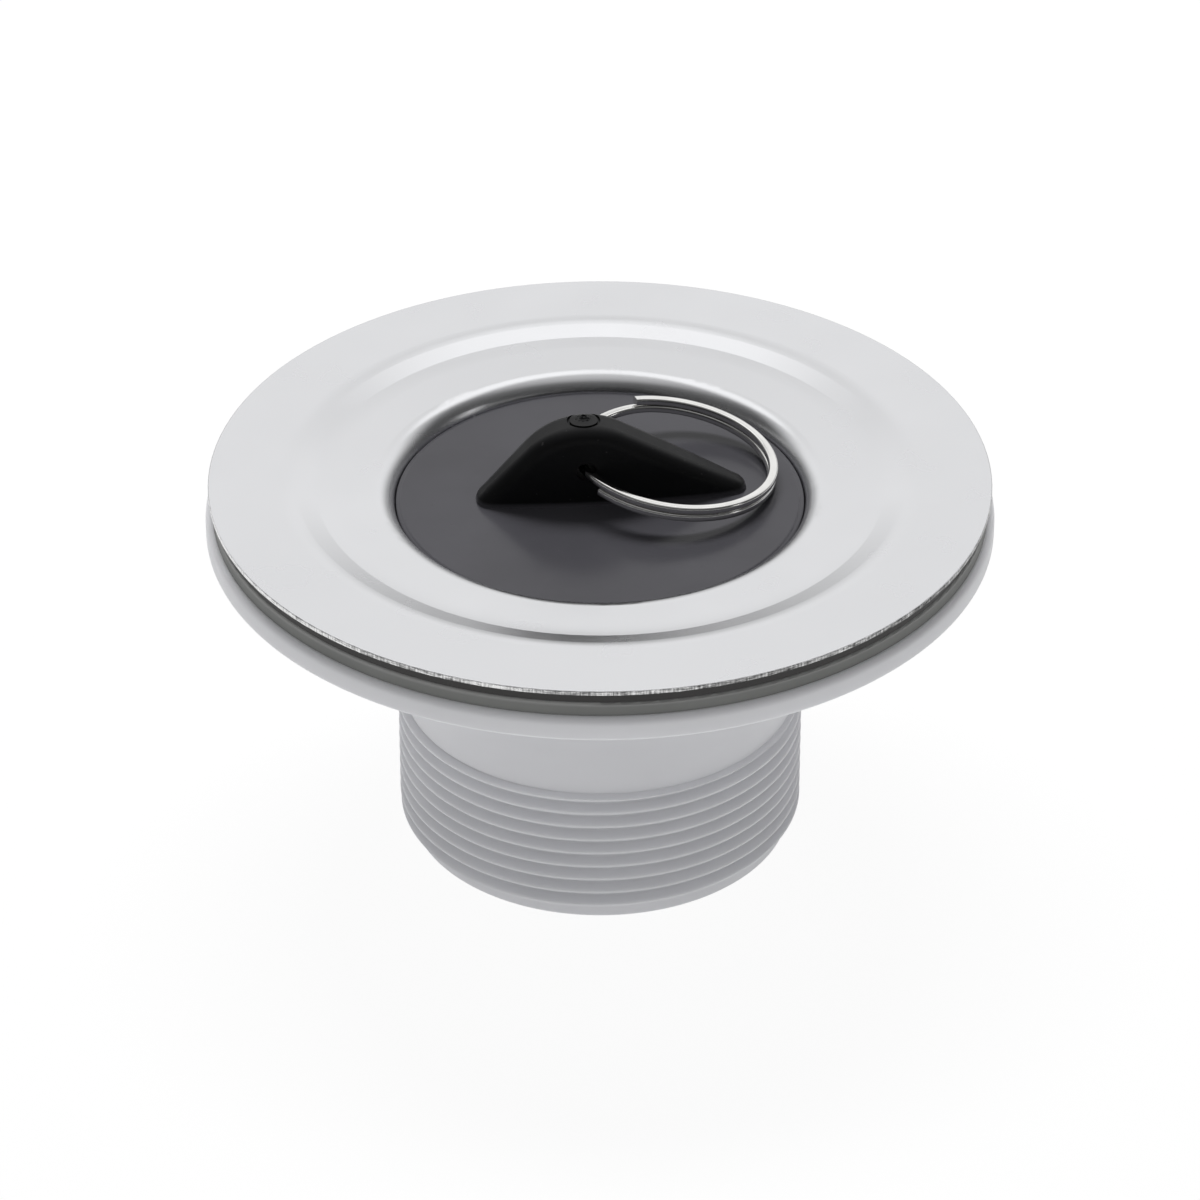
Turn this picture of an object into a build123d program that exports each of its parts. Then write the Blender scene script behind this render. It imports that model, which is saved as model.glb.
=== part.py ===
"""Kitchen sink bottom valve: steel dish, threaded plastic body and rubber stopper with its ring.

Millimetres, +Z up, origin on the valve's axis at the end of the threaded tail.
"""

from build123d import *

import math
import os

os.makedirs("parts", exist_ok=True)

# Tail thread: two inch parallel pipe thread, right hand
thread_major_r = 29.807
thread_depth = 1.479
thread_pitch = 2.309
thread_flank_angle = 27.5
thread_crest_share = 1 / 6
groove_overrun_share = 1 / 8
thread_h = 19.9
thread_start_h = 0.241
thread_end_h = 0.5
lead_in_under_root = 0.128
lead_in_h = 2.35
tail_end_chamfer = 0.3
tail_wall = 2.628

# Waste body above the thread
neck_over_root = 0.572
neck_h = 12.55
neck_cone_h = 6.0
bowl_wall = 2.6
bowl_plug_room = 2.18
bowl_h = 9.6
flange_land_w = 10.5
flange_t = 3.6
flange_top_round = 1.2
flange_bottom_round = 0.6
seal_guide_rim_room = 0.4
seal_guide_w = 1.0
seal_guide_h = 1.2
rib_count = 12
rib_t = 2.0
rib_reach = 16.0
rib_h = 7.0

# Hub and spokes inside the neck
hub_r = 8.0
hub_h = 14.0
hub_above_neck = 0.7
hub_cap_t = 2.0
spoke_count = 4
spoke_t = 3.0
spoke_h = 10.0
insert_across_flats = 10.0

# Clamp screw: six millimetre cheese head with a slot
screw_r = 2.985
screw_fit_clearance = 0.035
screw_length = 30.0
screw_head_r = 5.5
screw_head_h = 2.0
screw_head_round = 0.5
screw_slot_w = 1.6
screw_slot_depth = 1.1
screw_tip_chamfer = 0.6
screw_hole_clearance = 0.4

# Seals between the plastic flange and the steel rim
lower_seal_w = 9.1
lower_seal_t = 2.1
lower_seal_round = 0.4
upper_seal_w = 8.9
upper_seal_t = 1.4
seal_guide_gap = 0.4

# Sink flange: pressed stainless dish
sheet_t = 0.8
rim_r = 56.5
rim_edge_round = 0.2
rim_bend_r = 46.1
step_r = 41.1
step_bend_w = 2.2
step_slope_angle = 14.0
step_foot_w = 2.6
step_foot_angle = 5.0
recess_slope_angle = 3.0
lip_round = 3.2
seat_angle = 8.0
seat_bottom_round = 2.4
strainer_depth = 15.0
strainer_hole_r = 2.5
strainer_inner_pitch_r = 13.5
strainer_outer_pitch_r = 21.5
strainer_inner_count = 6
strainer_outer_count = 12
screw_well_r = 8.6
screw_well_depth = 2.4
screw_well_round = 1.2

# Plug: rubber disc with a hollow underside
plug_r = 29.42
plug_top_round = 0.6
plug_depth = 3.75
plug_h = 5.9
plug_seat_gap = 0.3
plug_web_t = 3.0
plug_skirt_w = 2.8
plug_bottom_round = 0.6

# Handle moulded on the plug: a ridge whose two slopes run down to rounded feet
handle_turn_angle = 6.06
handle_offset_x = -2.3
handle_offset_y = 0.5
handle_meet_h = 15.37
handle_meet_x = -2.38
handle_left_foot_x = -16.35
handle_right_foot_x = 25.06
handle_ridge_round = 11.3
handle_left_end_x = -15.7
handle_right_end_x = 23.65
handle_mid_half_w = 3.3
handle_foot_half_w = 2.25
handle_foot_corner_r = 2.1
handle_edge_round = 2.05
crest_upward_share = 0.5
handle_root_depth = 2.0
handle_hole_r = 1.45
handle_hole_x = -0.55
handle_hole_h = 5.8
mark_r = 2.42
mark_ring_w = 0.4
mark_ring_depth = 0.6
mark_offset_y = 0.5

# Split ring: two turns of flattened wire
ring_mean_r = 14.5
ring_wire_w = 1.35
ring_wire_h = 1.0
ring_wire_round = 0.3
ring_turn_gap = 0.45
ring_lean_x_angle = 8.43
ring_lean_y_angle = 0.37
ring_yaw_angle = 16.35
ring_start_angle = -153.0
ring_end_angle = 455.6

# Heights of the seats, from the tail's end up
thread_bottom_z = lead_in_h
thread_top_z = thread_bottom_z + thread_h
neck_top_z = thread_top_z + neck_h
bowl_floor_z = neck_top_z + neck_cone_h
flange_bottom_z = bowl_floor_z + bowl_h
flange_top_z = flange_bottom_z + flange_t
lower_seal_top_z = flange_top_z + lower_seal_t
rim_under_z = lower_seal_top_z + upper_seal_t
rim_top_z = rim_under_z + sheet_t
strainer_z = rim_top_z - strainer_depth
screw_well_z = strainer_z - screw_well_depth
plug_top_z = rim_top_z - plug_depth
plug_bottom_z = plug_top_z - plug_h
hub_top_z = neck_top_z + hub_above_neck
hub_bottom_z = hub_top_z - hub_h
spoke_bottom_z = hub_bottom_z

# Radii of the body, from the thread, the plug and the rim
thread_root_r = thread_major_r - thread_depth
lead_in_r = thread_root_r - lead_in_under_root
neck_r = thread_root_r + neck_over_root
bore_r = thread_root_r - tail_wall
thread_seat_r = (bore_r + thread_root_r) / 2
bowl_inner_r = plug_r + bowl_plug_room
bowl_outer_r = bowl_inner_r + bowl_wall
seal_guide_outer_r = rim_bend_r + seal_guide_rim_room
flange_r = seal_guide_outer_r + flange_land_w
seal_inner_r = seal_guide_outer_r + seal_guide_gap
rib_start_r = bowl_inner_r + bowl_wall / 2


def slope_down(angle, run):
    """Height lost along a run on a surface that falls at an angle in degrees."""
    return run * math.tan(math.radians(angle))


# Groove section: it runs a little past the crests, which stay as narrow lands between its turns
groove_overrun = thread_depth * groove_overrun_share
groove_crest_w = thread_pitch - thread_pitch * thread_crest_share
groove_root_w = groove_crest_w - 2 * slope_down(thread_flank_angle, thread_depth)
groove_mouth_w = groove_crest_w + 2 * slope_down(thread_flank_angle, groove_overrun)

# Thread band: a helical groove leaves the crests as narrow lands, and both ends are bevelled
with BuildPart() as thread_band:
    with BuildSketch(Plane.XY.offset(thread_bottom_z - 2 * thread_pitch)):
        Circle(thread_major_r)
        Circle(thread_seat_r, mode=Mode.SUBTRACT)
    extrude(amount=thread_h + 4 * thread_pitch)
    with BuildLine() as groove_path:
        Helix(
            pitch=thread_pitch,
            height=thread_h + 2 * thread_pitch,
            radius=thread_root_r,
            center=(0, 0, thread_bottom_z - thread_pitch + thread_start_h),
        )
    groove_start = groove_path.wire() @ 0
    with BuildSketch(Plane(origin=groove_start, x_dir=(1, 0, 0), z_dir=groove_path.wire() % 0)):
        with BuildLine():
            Polyline(
                (0, -groove_root_w / 2),
                (thread_depth + groove_overrun, -groove_mouth_w / 2),
                (thread_depth + groove_overrun, groove_mouth_w / 2),
                (0, groove_root_w / 2),
                close=True,
            )
        make_face()
    sweep(path=groove_path.wire(), is_frenet=True, mode=Mode.SUBTRACT)
    with BuildSketch(Plane.XZ):
        with BuildLine():
            Polyline(
                (thread_seat_r, thread_bottom_z),
                (lead_in_r, thread_bottom_z),
                (thread_major_r, thread_bottom_z + thread_end_h),
                (thread_major_r, thread_top_z - thread_end_h),
                (neck_r, thread_top_z),
                (thread_seat_r, thread_top_z),
                close=True,
            )
        make_face()
    revolve(axis=Axis.Z, mode=Mode.INTERSECT)

# Waste body: revolved shell with the thread band, gussets, spokes and hub
with BuildPart() as waste_body:
    with BuildSketch(Plane.XZ):
        with BuildLine():
            Polyline(
                (bore_r, 0),
                (lead_in_r, 0),
                (lead_in_r, thread_bottom_z),
                (thread_seat_r, thread_bottom_z),
                (thread_seat_r, thread_top_z),
                (neck_r, thread_top_z),
                (neck_r, neck_top_z),
                (bowl_outer_r, bowl_floor_z),
                (bowl_outer_r, flange_bottom_z),
                (flange_r, flange_bottom_z),
                (flange_r, flange_top_z),
                (seal_guide_outer_r, flange_top_z),
                (seal_guide_outer_r, flange_top_z + seal_guide_h),
                (seal_guide_outer_r - seal_guide_w, flange_top_z + seal_guide_h),
                (seal_guide_outer_r - seal_guide_w, flange_top_z),
                (bowl_inner_r, flange_top_z),
                (bowl_inner_r, bowl_floor_z),
                (bore_r, neck_top_z),
                close=True,
            )
        make_face()
    revolve(axis=Axis.Z)
    add(thread_band.part)
    bottom_rims = waste_body.edges().group_by(Axis.Z)[0]
    chamfer(bottom_rims, length=tail_end_chamfer)
    flange_rims = waste_body.edges().filter_by(GeomType.CIRCLE).group_by(SortBy.RADIUS)[-1]
    fillet(flange_rims.sort_by(Axis.Z)[-1], radius=flange_top_round)
    flange_rims = waste_body.edges().filter_by(GeomType.CIRCLE).group_by(SortBy.RADIUS)[-1]
    fillet(flange_rims.sort_by(Axis.Z)[0], radius=flange_bottom_round)

    # Gussets under the flange, from the bowl's wall outward
    for turn_angle in range(0, 360, 360 // rib_count):
        with BuildSketch(Plane.XZ.rotated((0, 0, turn_angle))):
            with BuildLine():
                Polyline(
                    (rib_start_r, flange_bottom_z),
                    (bowl_outer_r + rib_reach, flange_bottom_z),
                    (bowl_outer_r, flange_bottom_z - rib_h),
                    (rib_start_r, flange_bottom_z - rib_h),
                    close=True,
                )
            make_face()
        extrude(amount=rib_t / 2, both=True)

    # Spokes and hub that hold the insert on the axis
    with BuildSketch(Plane.XY.offset(hub_bottom_z)):
        Circle(hub_r)
    extrude(amount=hub_h)
    spoke_reach = (bore_r + neck_r) / 2
    with BuildSketch(Plane.XY.offset(spoke_bottom_z)):
        with PolarLocations(0, spoke_count):
            with Locations((spoke_reach / 2, 0)):
                Rectangle(spoke_reach, spoke_t)
    extrude(amount=spoke_h)
    with BuildSketch(Plane.XY.offset(hub_bottom_z)):
        Circle(screw_r + screw_hole_clearance)
    extrude(amount=hub_h, mode=Mode.SUBTRACT)
    with BuildSketch(Plane.XY.offset(hub_bottom_z + hub_cap_t)):
        RegularPolygon(insert_across_flats / 2, side_count=6, major_radius=False)
    extrude(amount=hub_h - 2 * hub_cap_t, mode=Mode.SUBTRACT)

waste_body.part.label = "waste_body"
export_step(waste_body.part, "parts/waste_body.step")

# Nut insert: hexagonal brass sleeve held between the hub's two ends
with BuildPart() as nut_insert:
    with BuildSketch(Plane.XY.offset(hub_bottom_z + hub_cap_t)):
        RegularPolygon(insert_across_flats / 2, side_count=6, major_radius=False)
        Circle(screw_r + screw_fit_clearance, mode=Mode.SUBTRACT)
    extrude(amount=hub_h - 2 * hub_cap_t)
nut_insert.part.label = "nut_insert"
export_step(nut_insert.part, "parts/nut_insert.step")

# Lower seal: soft ring on the plastic flange, round at its upper outer edge
with BuildPart() as lower_seal:
    with BuildSketch(Plane.XY.offset(flange_top_z)):
        Circle(seal_inner_r + lower_seal_w)
        Circle(seal_inner_r, mode=Mode.SUBTRACT)
    extrude(amount=lower_seal_t)
    seal_rims = lower_seal.edges().filter_by(GeomType.CIRCLE).group_by(SortBy.RADIUS)[-1]
    fillet(seal_rims.sort_by(Axis.Z)[-1], radius=lower_seal_round)
lower_seal.part.label = "lower_seal"
export_step(lower_seal.part, "parts/lower_seal.step")

# Upper seal: thin ring under the steel rim
with BuildPart() as upper_seal:
    with BuildSketch(Plane.XY.offset(lower_seal_top_z)):
        Circle(seal_inner_r + upper_seal_w)
        Circle(seal_inner_r, mode=Mode.SUBTRACT)
    extrude(amount=upper_seal_t)
upper_seal.part.label = "upper_seal"
export_step(upper_seal.part, "parts/upper_seal.step")

# Sink flange: one sheet line, thickened downwards and turned about the axis

seat_r_at_plug = plug_r + plug_seat_gap

# The rim bends down into a cone, which ends at the sharp step
slope_start_r = rim_bend_r - step_bend_w
slope_start_z = rim_top_z - step_bend_w * math.tan(math.radians(step_slope_angle / 2))
step_z = slope_start_z - slope_down(step_slope_angle, slope_start_r - step_r)

# The recessed ring curls up a little towards the step
foot_top_angle = recess_slope_angle + step_foot_angle
foot_tangent = (-math.cos(math.radians(foot_top_angle)), -math.sin(math.radians(foot_top_angle)))
foot_end_r = step_r - step_foot_w
foot_end_z = step_z - slope_down(recess_slope_angle + step_foot_angle / 2, step_foot_w)


def seat_r(z):
    """Inner radius of the conical seat at a height."""
    return seat_r_at_plug + slope_down(seat_angle, z - plug_top_z)


# The lip's arc runs from the sloping ring to the seat, both of which it touches
lip_end_rise = lip_round * math.sin(math.radians(seat_angle))
lip_start_run = lip_round * math.sin(math.radians(recess_slope_angle))
lip_start_drop = lip_round * math.cos(math.radians(recess_slope_angle))
lip_guess_z = foot_end_z - slope_down(recess_slope_angle, foot_end_r - seat_r_at_plug - lip_round)
lip_centre_z = lip_guess_z - lip_round
lip_centre_r = seat_r(lip_centre_z + lip_end_rise) + lip_round * math.cos(math.radians(seat_angle))
lip_start = (lip_centre_r - lip_start_run, lip_centre_z + lip_start_drop)
lip_end = (seat_r(lip_centre_z + lip_end_rise), lip_centre_z + lip_end_rise)
lip_mid_angle = math.radians((recess_slope_angle + 90 - seat_angle) / 2)
lip_mid = (
    lip_centre_r - lip_round * math.sin(lip_mid_angle),
    lip_centre_z + lip_round * math.cos(lip_mid_angle),
)
well_top_r = screw_well_r + screw_well_depth / 2

with BuildPart() as sink_flange:
    with BuildSketch(Plane.XZ):
        with BuildLine():
            Line((rim_r, rim_top_z), (rim_bend_r, rim_top_z))
            TangentArc((rim_bend_r, rim_top_z), (slope_start_r, slope_start_z), tangent=(-1, 0))
            Line((slope_start_r, slope_start_z), (step_r, step_z))
            TangentArc((step_r, step_z), (foot_end_r, foot_end_z), tangent=foot_tangent)
            Line((foot_end_r, foot_end_z), lip_start)
            ThreePointArc(lip_start, lip_mid, lip_end)
            FilletPolyline(
                lip_end,
                (seat_r(strainer_z), strainer_z),
                (well_top_r, strainer_z),
                (screw_well_r, screw_well_z),
                (screw_r + screw_hole_clearance, screw_well_z),
                radius=(seat_bottom_round, screw_well_round, screw_well_round),
            )
            offset(amount=sheet_t, side=Side.LEFT, closed=True)
        make_face()
    revolve(axis=Axis.Z)
    hole_depth = 2 * sheet_t
    for pitch_r, hole_count in (
        (strainer_inner_pitch_r, strainer_inner_count),
        (strainer_outer_pitch_r, strainer_outer_count),
    ):
        with BuildSketch(Plane.XY.offset(strainer_z + sheet_t / 2)):
            with PolarLocations(pitch_r, hole_count):
                Circle(strainer_hole_r)
        extrude(amount=-hole_depth, mode=Mode.SUBTRACT)
    rim_edges = sink_flange.edges().filter_by(GeomType.CIRCLE).group_by(SortBy.RADIUS)[-1]
    fillet(rim_edges, radius=rim_edge_round)
sink_flange.part.label = "sink_flange"
export_step(sink_flange.part, "parts/sink_flange.step")

# Clamp screw: head down on the floor of the screw well
screw_tip_z = screw_well_z - screw_length
with BuildPart() as clamp_screw:
    with BuildSketch(Plane.XY.offset(screw_tip_z)):
        Circle(screw_r)
    extrude(amount=screw_length)
    chamfer(clamp_screw.edges().group_by(Axis.Z)[0], length=screw_tip_chamfer)
    with BuildSketch(Plane.XY.offset(screw_well_z)):
        Circle(screw_head_r)
    extrude(amount=screw_head_h)
    head_top_edge = clamp_screw.edges().group_by(Axis.Z)[-1]
    fillet(head_top_edge, radius=screw_head_round)
    slot_length = 2 * screw_head_r + screw_slot_w
    with BuildSketch(Plane.XY.offset(screw_well_z + screw_head_h)):
        Rectangle(slot_length, screw_slot_w)
    extrude(amount=-screw_slot_depth, mode=Mode.SUBTRACT)
clamp_screw.part.label = "clamp_screw"
export_step(clamp_screw.part, "parts/clamp_screw.step")

# Plug: disc with a tapered skirt that follows the seat, and the handle on top
plug_bottom_r = seat_r(plug_bottom_z) - plug_seat_gap
turn = math.radians(handle_turn_angle)
handle_x_dir = Vector(math.cos(turn), math.sin(turn), 0)
handle_y_dir = Vector(-math.sin(turn), math.cos(turn), 0)
handle_origin = Vector(handle_offset_x, handle_offset_y, plug_top_z)
handle_side_plane = Plane(origin=handle_origin, x_dir=handle_x_dir, z_dir=-handle_y_dir)
handle_plan_plane = Plane(origin=handle_origin, x_dir=handle_x_dir, z_dir=(0, 0, 1))
left_rate = handle_meet_h / (handle_meet_x - handle_left_foot_x)
right_rate = handle_meet_h / (handle_right_foot_x - handle_meet_x)
handle_half_space = 2 * handle_mid_half_w

# The cross hole runs along the ring's wire, at the ring's own turn about the vertical
yaw = math.radians(ring_yaw_angle)
hole_centre = handle_origin + handle_x_dir * handle_hole_x + Vector(0, 0, handle_hole_h)
hole_plane = Plane(
    origin=hole_centre,
    x_dir=(math.cos(yaw), math.sin(yaw), 0),
    z_dir=(math.sin(yaw), -math.cos(yaw), 0),
)

with BuildPart() as handle:
    with BuildSketch(handle_side_plane) as handle_profile:
        with BuildLine():
            Polyline(
                (handle_left_foot_x - handle_root_depth / left_rate, -handle_root_depth),
                (handle_meet_x, handle_meet_h),
                (handle_right_foot_x + handle_root_depth / right_rate, -handle_root_depth),
                close=True,
            )
        make_face()
        fillet(handle_profile.vertices().sort_by(Axis.Y)[-1], radius=handle_ridge_round)
    extrude(amount=handle_half_space, both=True)
    with BuildSketch(handle_plan_plane.offset(-handle_root_depth)) as handle_plan:
        with BuildLine():
            near = ThreePointArc(
                (handle_left_end_x, -handle_foot_half_w),
                (handle_meet_x, -handle_mid_half_w),
                (handle_right_end_x, -handle_foot_half_w),
            )
            far = ThreePointArc(
                (handle_left_end_x, handle_foot_half_w),
                (handle_meet_x, handle_mid_half_w),
                (handle_right_end_x, handle_foot_half_w),
            )
            Line(near @ 0, far @ 0)
            Line(near @ 1, far @ 1)
        make_face()
        fillet(handle_plan.vertices(), radius=handle_foot_corner_r)
    extrude(amount=handle_meet_h + 2 * handle_root_depth, mode=Mode.INTERSECT)
    lowest = handle.edges().group_by(Axis.Z)[0]
    crest = handle.faces().filter_by(lambda f: f.normal_at().Z > crest_upward_share)
    crest_edges = ShapeList(
        e
        for e in crest.edges()
        if len([f for f in crest if e in f.edges()]) == 1 and e not in lowest
    )
    fillet(crest_edges, radius=handle_edge_round)
    handle_top_z = handle.faces().filter_by(GeomType.CYLINDER).sort_by(Axis.Z)[-1].bounding_box().max.Z
    with BuildSketch(handle_plan_plane.offset(handle_top_z - plug_top_z - mark_ring_depth)):
        with Locations((0, mark_offset_y)):
            Circle(mark_r)
            Circle(mark_r - mark_ring_w, mode=Mode.SUBTRACT)
    extrude(amount=handle_half_space, mode=Mode.SUBTRACT)
    with BuildSketch(hole_plane):
        Circle(handle_hole_r)
    extrude(amount=handle_half_space, both=True, mode=Mode.SUBTRACT)

with BuildPart() as plug:
    with BuildSketch(Plane.XZ):
        with BuildLine():
            Polyline(
                (0, plug_top_z),
                (plug_r, plug_top_z),
                (plug_bottom_r, plug_bottom_z),
                (plug_bottom_r - plug_skirt_w, plug_bottom_z),
                (plug_r - plug_skirt_w, plug_top_z - plug_web_t),
                (0, plug_top_z - plug_web_t),
                close=True,
            )
        make_face()
    revolve(axis=Axis.Z)
    fillet(plug.edges().group_by(Axis.Z)[-1], radius=plug_top_round)
    fillet(plug.edges().group_by(Axis.Z)[0], radius=plug_bottom_round)
    add(handle.part)
plug.part.label = "plug"
export_step(plug.part, "parts/plug.step")

# Split ring: one tube through the handle's hole, round the right foot and back over itself
lean_x = math.sin(math.radians(ring_lean_x_angle))
lean_y = math.sin(math.radians(ring_lean_y_angle))
ring_normal = Vector(lean_x, lean_y, 1).normalized()
toward_centre = Vector(math.cos(yaw), math.sin(yaw), 0)
toward_centre = (toward_centre - ring_normal * toward_centre.dot(ring_normal)).normalized()
ring_pitch = ring_wire_h + ring_turn_gap
mid_angle = (ring_start_angle + ring_end_angle) / 2
rise_at_hole = ring_pitch * (180 - mid_angle) / 360
bow_in_hole = ring_mean_r - math.sqrt(ring_mean_r**2 - handle_mid_half_w**2)
ring_centre = hole_centre + toward_centre * (ring_mean_r - bow_in_hole / 2) - ring_normal * rise_at_hole
ring_plane = Plane(origin=ring_centre, x_dir=toward_centre, z_dir=ring_normal)


def ring_point(angle):
    """Place on the wire's centre line at a wound angle in degrees."""
    turned = math.radians(angle)
    rise = ring_pitch * (angle - mid_angle) / 360
    return ring_plane.from_local_coords(
        Vector(ring_mean_r * math.cos(turned), ring_mean_r * math.sin(turned), rise)
    )


def ring_direction(angle):
    """Direction of the wire at a wound angle in degrees."""
    turned = math.radians(angle)
    climb = ring_pitch / (2 * math.pi)
    along_x = ring_plane.x_dir * (-ring_mean_r * math.sin(turned))
    along_y = ring_plane.y_dir * (ring_mean_r * math.cos(turned))
    return (along_x + along_y + ring_plane.z_dir * climb).normalized()


def biarc_joint(start, start_dir, end, end_dir):
    """Place where two arcs meet that leave one direction and arrive in another."""
    chord = end - start
    both = start_dir + end_dir
    turned = 2 * (1 - start_dir.dot(end_dir))
    reach = (-chord.dot(both) + math.sqrt(chord.dot(both) ** 2 + turned * chord.dot(chord))) / turned
    return (start + start_dir * reach + end - end_dir * reach) * 0.5


quarter_count = math.ceil((ring_end_angle - ring_start_angle) / 90)
ring_angles = [
    ring_start_angle + (ring_end_angle - ring_start_angle) * i / quarter_count
    for i in range(quarter_count + 1)
]
with BuildPart() as split_ring:
    with BuildLine() as ring_path:
        for begin, finish in zip(ring_angles[:-1], ring_angles[1:]):
            start = ring_point(begin)
            end = ring_point(finish)
            joint = biarc_joint(start, ring_direction(begin), end, ring_direction(finish))
            first = TangentArc(start, joint, tangent=ring_direction(begin))
            TangentArc(joint, end, tangent=first % 1)
    start_plane = Plane(
        origin=ring_path.wire() @ 0,
        x_dir=(ring_path.wire() @ 0) - ring_centre,
        z_dir=ring_path.wire() % 0,
    )
    with BuildSketch(start_plane):
        RectangleRounded(ring_wire_w, ring_wire_h, ring_wire_round)
    sweep(path=ring_path.wire())
split_ring.part.label = "split_ring"
export_step(split_ring.part, "parts/split_ring.step")

# Least gap between neighbouring turns, measured from point to point along the wire
gap_steps = 360
span = ring_end_angle - ring_start_angle
wire_points = [ring_point(ring_start_angle + span * i / gap_steps) for i in range(gap_steps + 1)]
half_turn_steps = int(gap_steps * 180 / span)
least_centres = min(
    (wire_points[i] - wire_points[j]).length
    for i in range(gap_steps + 1)
    for j in range(i + half_turn_steps, gap_steps + 1)
)
print("split ring: least gap between turns", round(least_centres - ring_wire_h, 3), "mm")
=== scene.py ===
"""Looks of the sink bottom valve: pressed steel dish, moulded tail, rubber stopper and split ring."""

import math

import bmesh
import bpy
from mathutils import Matrix, Vector, noise


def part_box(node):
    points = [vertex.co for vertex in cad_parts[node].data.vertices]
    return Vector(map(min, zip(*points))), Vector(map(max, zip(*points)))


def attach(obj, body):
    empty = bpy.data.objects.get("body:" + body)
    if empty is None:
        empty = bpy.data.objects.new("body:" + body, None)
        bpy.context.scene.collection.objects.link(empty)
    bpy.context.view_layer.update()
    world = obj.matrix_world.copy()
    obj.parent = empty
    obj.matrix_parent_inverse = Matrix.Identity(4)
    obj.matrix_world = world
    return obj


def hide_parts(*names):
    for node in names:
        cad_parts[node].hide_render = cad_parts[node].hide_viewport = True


MM = 0.001

# The photograph's view: pixels are those of its 1200 by 1200 frame
IMAGE_PX = 1200
RIM_CENTRE_PX = 474
PX_PER_MM = 6.933
CAMERA_DISTANCE = 800 * MM
CAMERA_ELEVATION = math.radians(31.5)
SENSOR_WIDTH_MM = 36
CLIP_START = 10 * MM

# The tail and its thread: millimetres from the tail's end, as in the CAD solid
THREAD_MAJOR_R = 29.807
THREAD_ROOT_R = 28.328
THREAD_PITCH = 2.309
THREAD_ROUND = 0.317
THREAD_FLANK_ANGLE = math.radians(27.5)
THREAD_BOTTOM = 2.35
THREAD_TOP = 22.25
THREAD_END_H = 0.5
THREAD_FIRST_GROOVE = 2.591
THREAD_ROWS_PER_TURN = 20
LEAD_IN_R = 28.2
TAIL_CHAMFER = 0.3
NECK_R = 28.9
NECK_TOP = 34.8
BORE_R = 25.7

# The bowl, its flange and its gussets
BOWL_INNER_R = 31.6
BOWL_OUTER_R = 34.2
BOWL_FLOOR = 40.8
FLANGE_R = 57.0
FLANGE_BOTTOM = 50.4
FLANGE_TOP = 54.0
FLANGE_TOP_ROUND = 1.2
FLANGE_BOTTOM_ROUND = 0.6
GUIDE_OUTER_R = 46.5
GUIDE_W = 1.0
GUIDE_H = 1.2
RIB_COUNT = 12
RIB_T = 2.0
RIB_REACH = 16.0
RIB_H = 7.0

# The hub that holds the insert, and its spokes
HUB_R = 8.0
HUB_BOTTOM = 21.5
HUB_TOP = 35.5
HUB_CAP_T = 2.0
HUB_HOLE_R = 3.385
HUB_POCKET_R = 5.9
SPOKE_COUNT = 4
SPOKE_T = 3.0
SPOKE_H = 10.0
MOULD_ROUND = 0.4
PLATE_SINK = 1.0
ROW_STEP = 0.002
LATHE_COLUMNS = 360
HUB_COLUMNS = 120
SHARP_ANGLE = math.radians(32)
RUBBER_SHARP_ANGLE = math.radians(60)

# The split ring: its wire's section, and the line that it winds along
RING_R = 14.5
RING_WIRE_W = 1.35
RING_WIRE_H = 1.15
RING_WIRE_ROUND = 0.36
RING_WIRE_CORNER_STEPS = 5
RING_PITCH = 1.2
RING_CENTRE = Vector((10.7103, 4.4971, 58.2195))
RING_LEAN_X = math.radians(8.43)
RING_LEAN_Y = math.radians(0.37)
RING_YAW = math.radians(16.35)
RING_START = -153.0
RING_END = 457.0
RING_STEP = 2.0
RING_SAG = 0.9
RING_SAG_AT = 130.0
RING_SAG_SPREAD = 26.0

# The clamp screw's shank
SCREW_R = 2.985
SCREW_THREAD_DEPTH = 0.58
SCREW_PITCH = 1.0
SCREW_ROWS_PER_TURN = 12
SCREW_COLUMNS = 48
SCREW_HEAD_AND_NECK_H = 3.5
SCREW_CORE_R = 0.4
SCREW_TIP_BEVEL = 0.6
SCREW_FLANK_RATE = 2.6
SCREW_CREST_SHARE = 0.15

# The rubber disc's top lies this far below the rim. Its lip: (radius, height from the disc's top)
DISC_DROP = 3.75
PLUG_LIP = [
    (29.05, -0.10),
    (29.25, -0.12),
    (29.42, -0.20),
    (29.53, -0.34),
    (29.56, -0.52),
    (29.55, -0.78),
    (29.47, -1.10),
    (29.36, -1.32),
    (29.18, -1.45),
    (28.9, -1.2),
]

# The torn gate in the moulded mark on the handle's crest
GATE_X = -2.35
GATE_Y = 1.25
GATE_R = 1.5
GATE_DEPTH_SHARE = 0.8
GATE_H = 0.3
GATE_SINK = 0.12
GATE_ROWS = 24
GATE_COLUMNS = 72
GATE_RAY_ABOVE = 1
GATE_FADE_POWER = 4
GATE_LIFT = 0.12
GATE_LUMP_SHARE = 0.9
GATE_LUMP_SCALE_X = 2.1
GATE_LUMP_SCALE_Y = 2.6
GATE_LUMP_SEED = 4.0
GATE_LUMP_LIFT = 0.05
GATE_FINE_SHARE = 0.6
GATE_FINE_SCALE = 2.7
GATE_PIT_X = 0.05
GATE_PIT_Y = 0.25
GATE_PIT_SHARE = 1.4
GATE_PIT_SPREAD = 0.09
GATE_PIT_LIP_R = 0.45
GATE_PIT_LIP_SHARE = 0.8
GATE_PIT_LIP_SPREAD = 0.02

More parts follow.
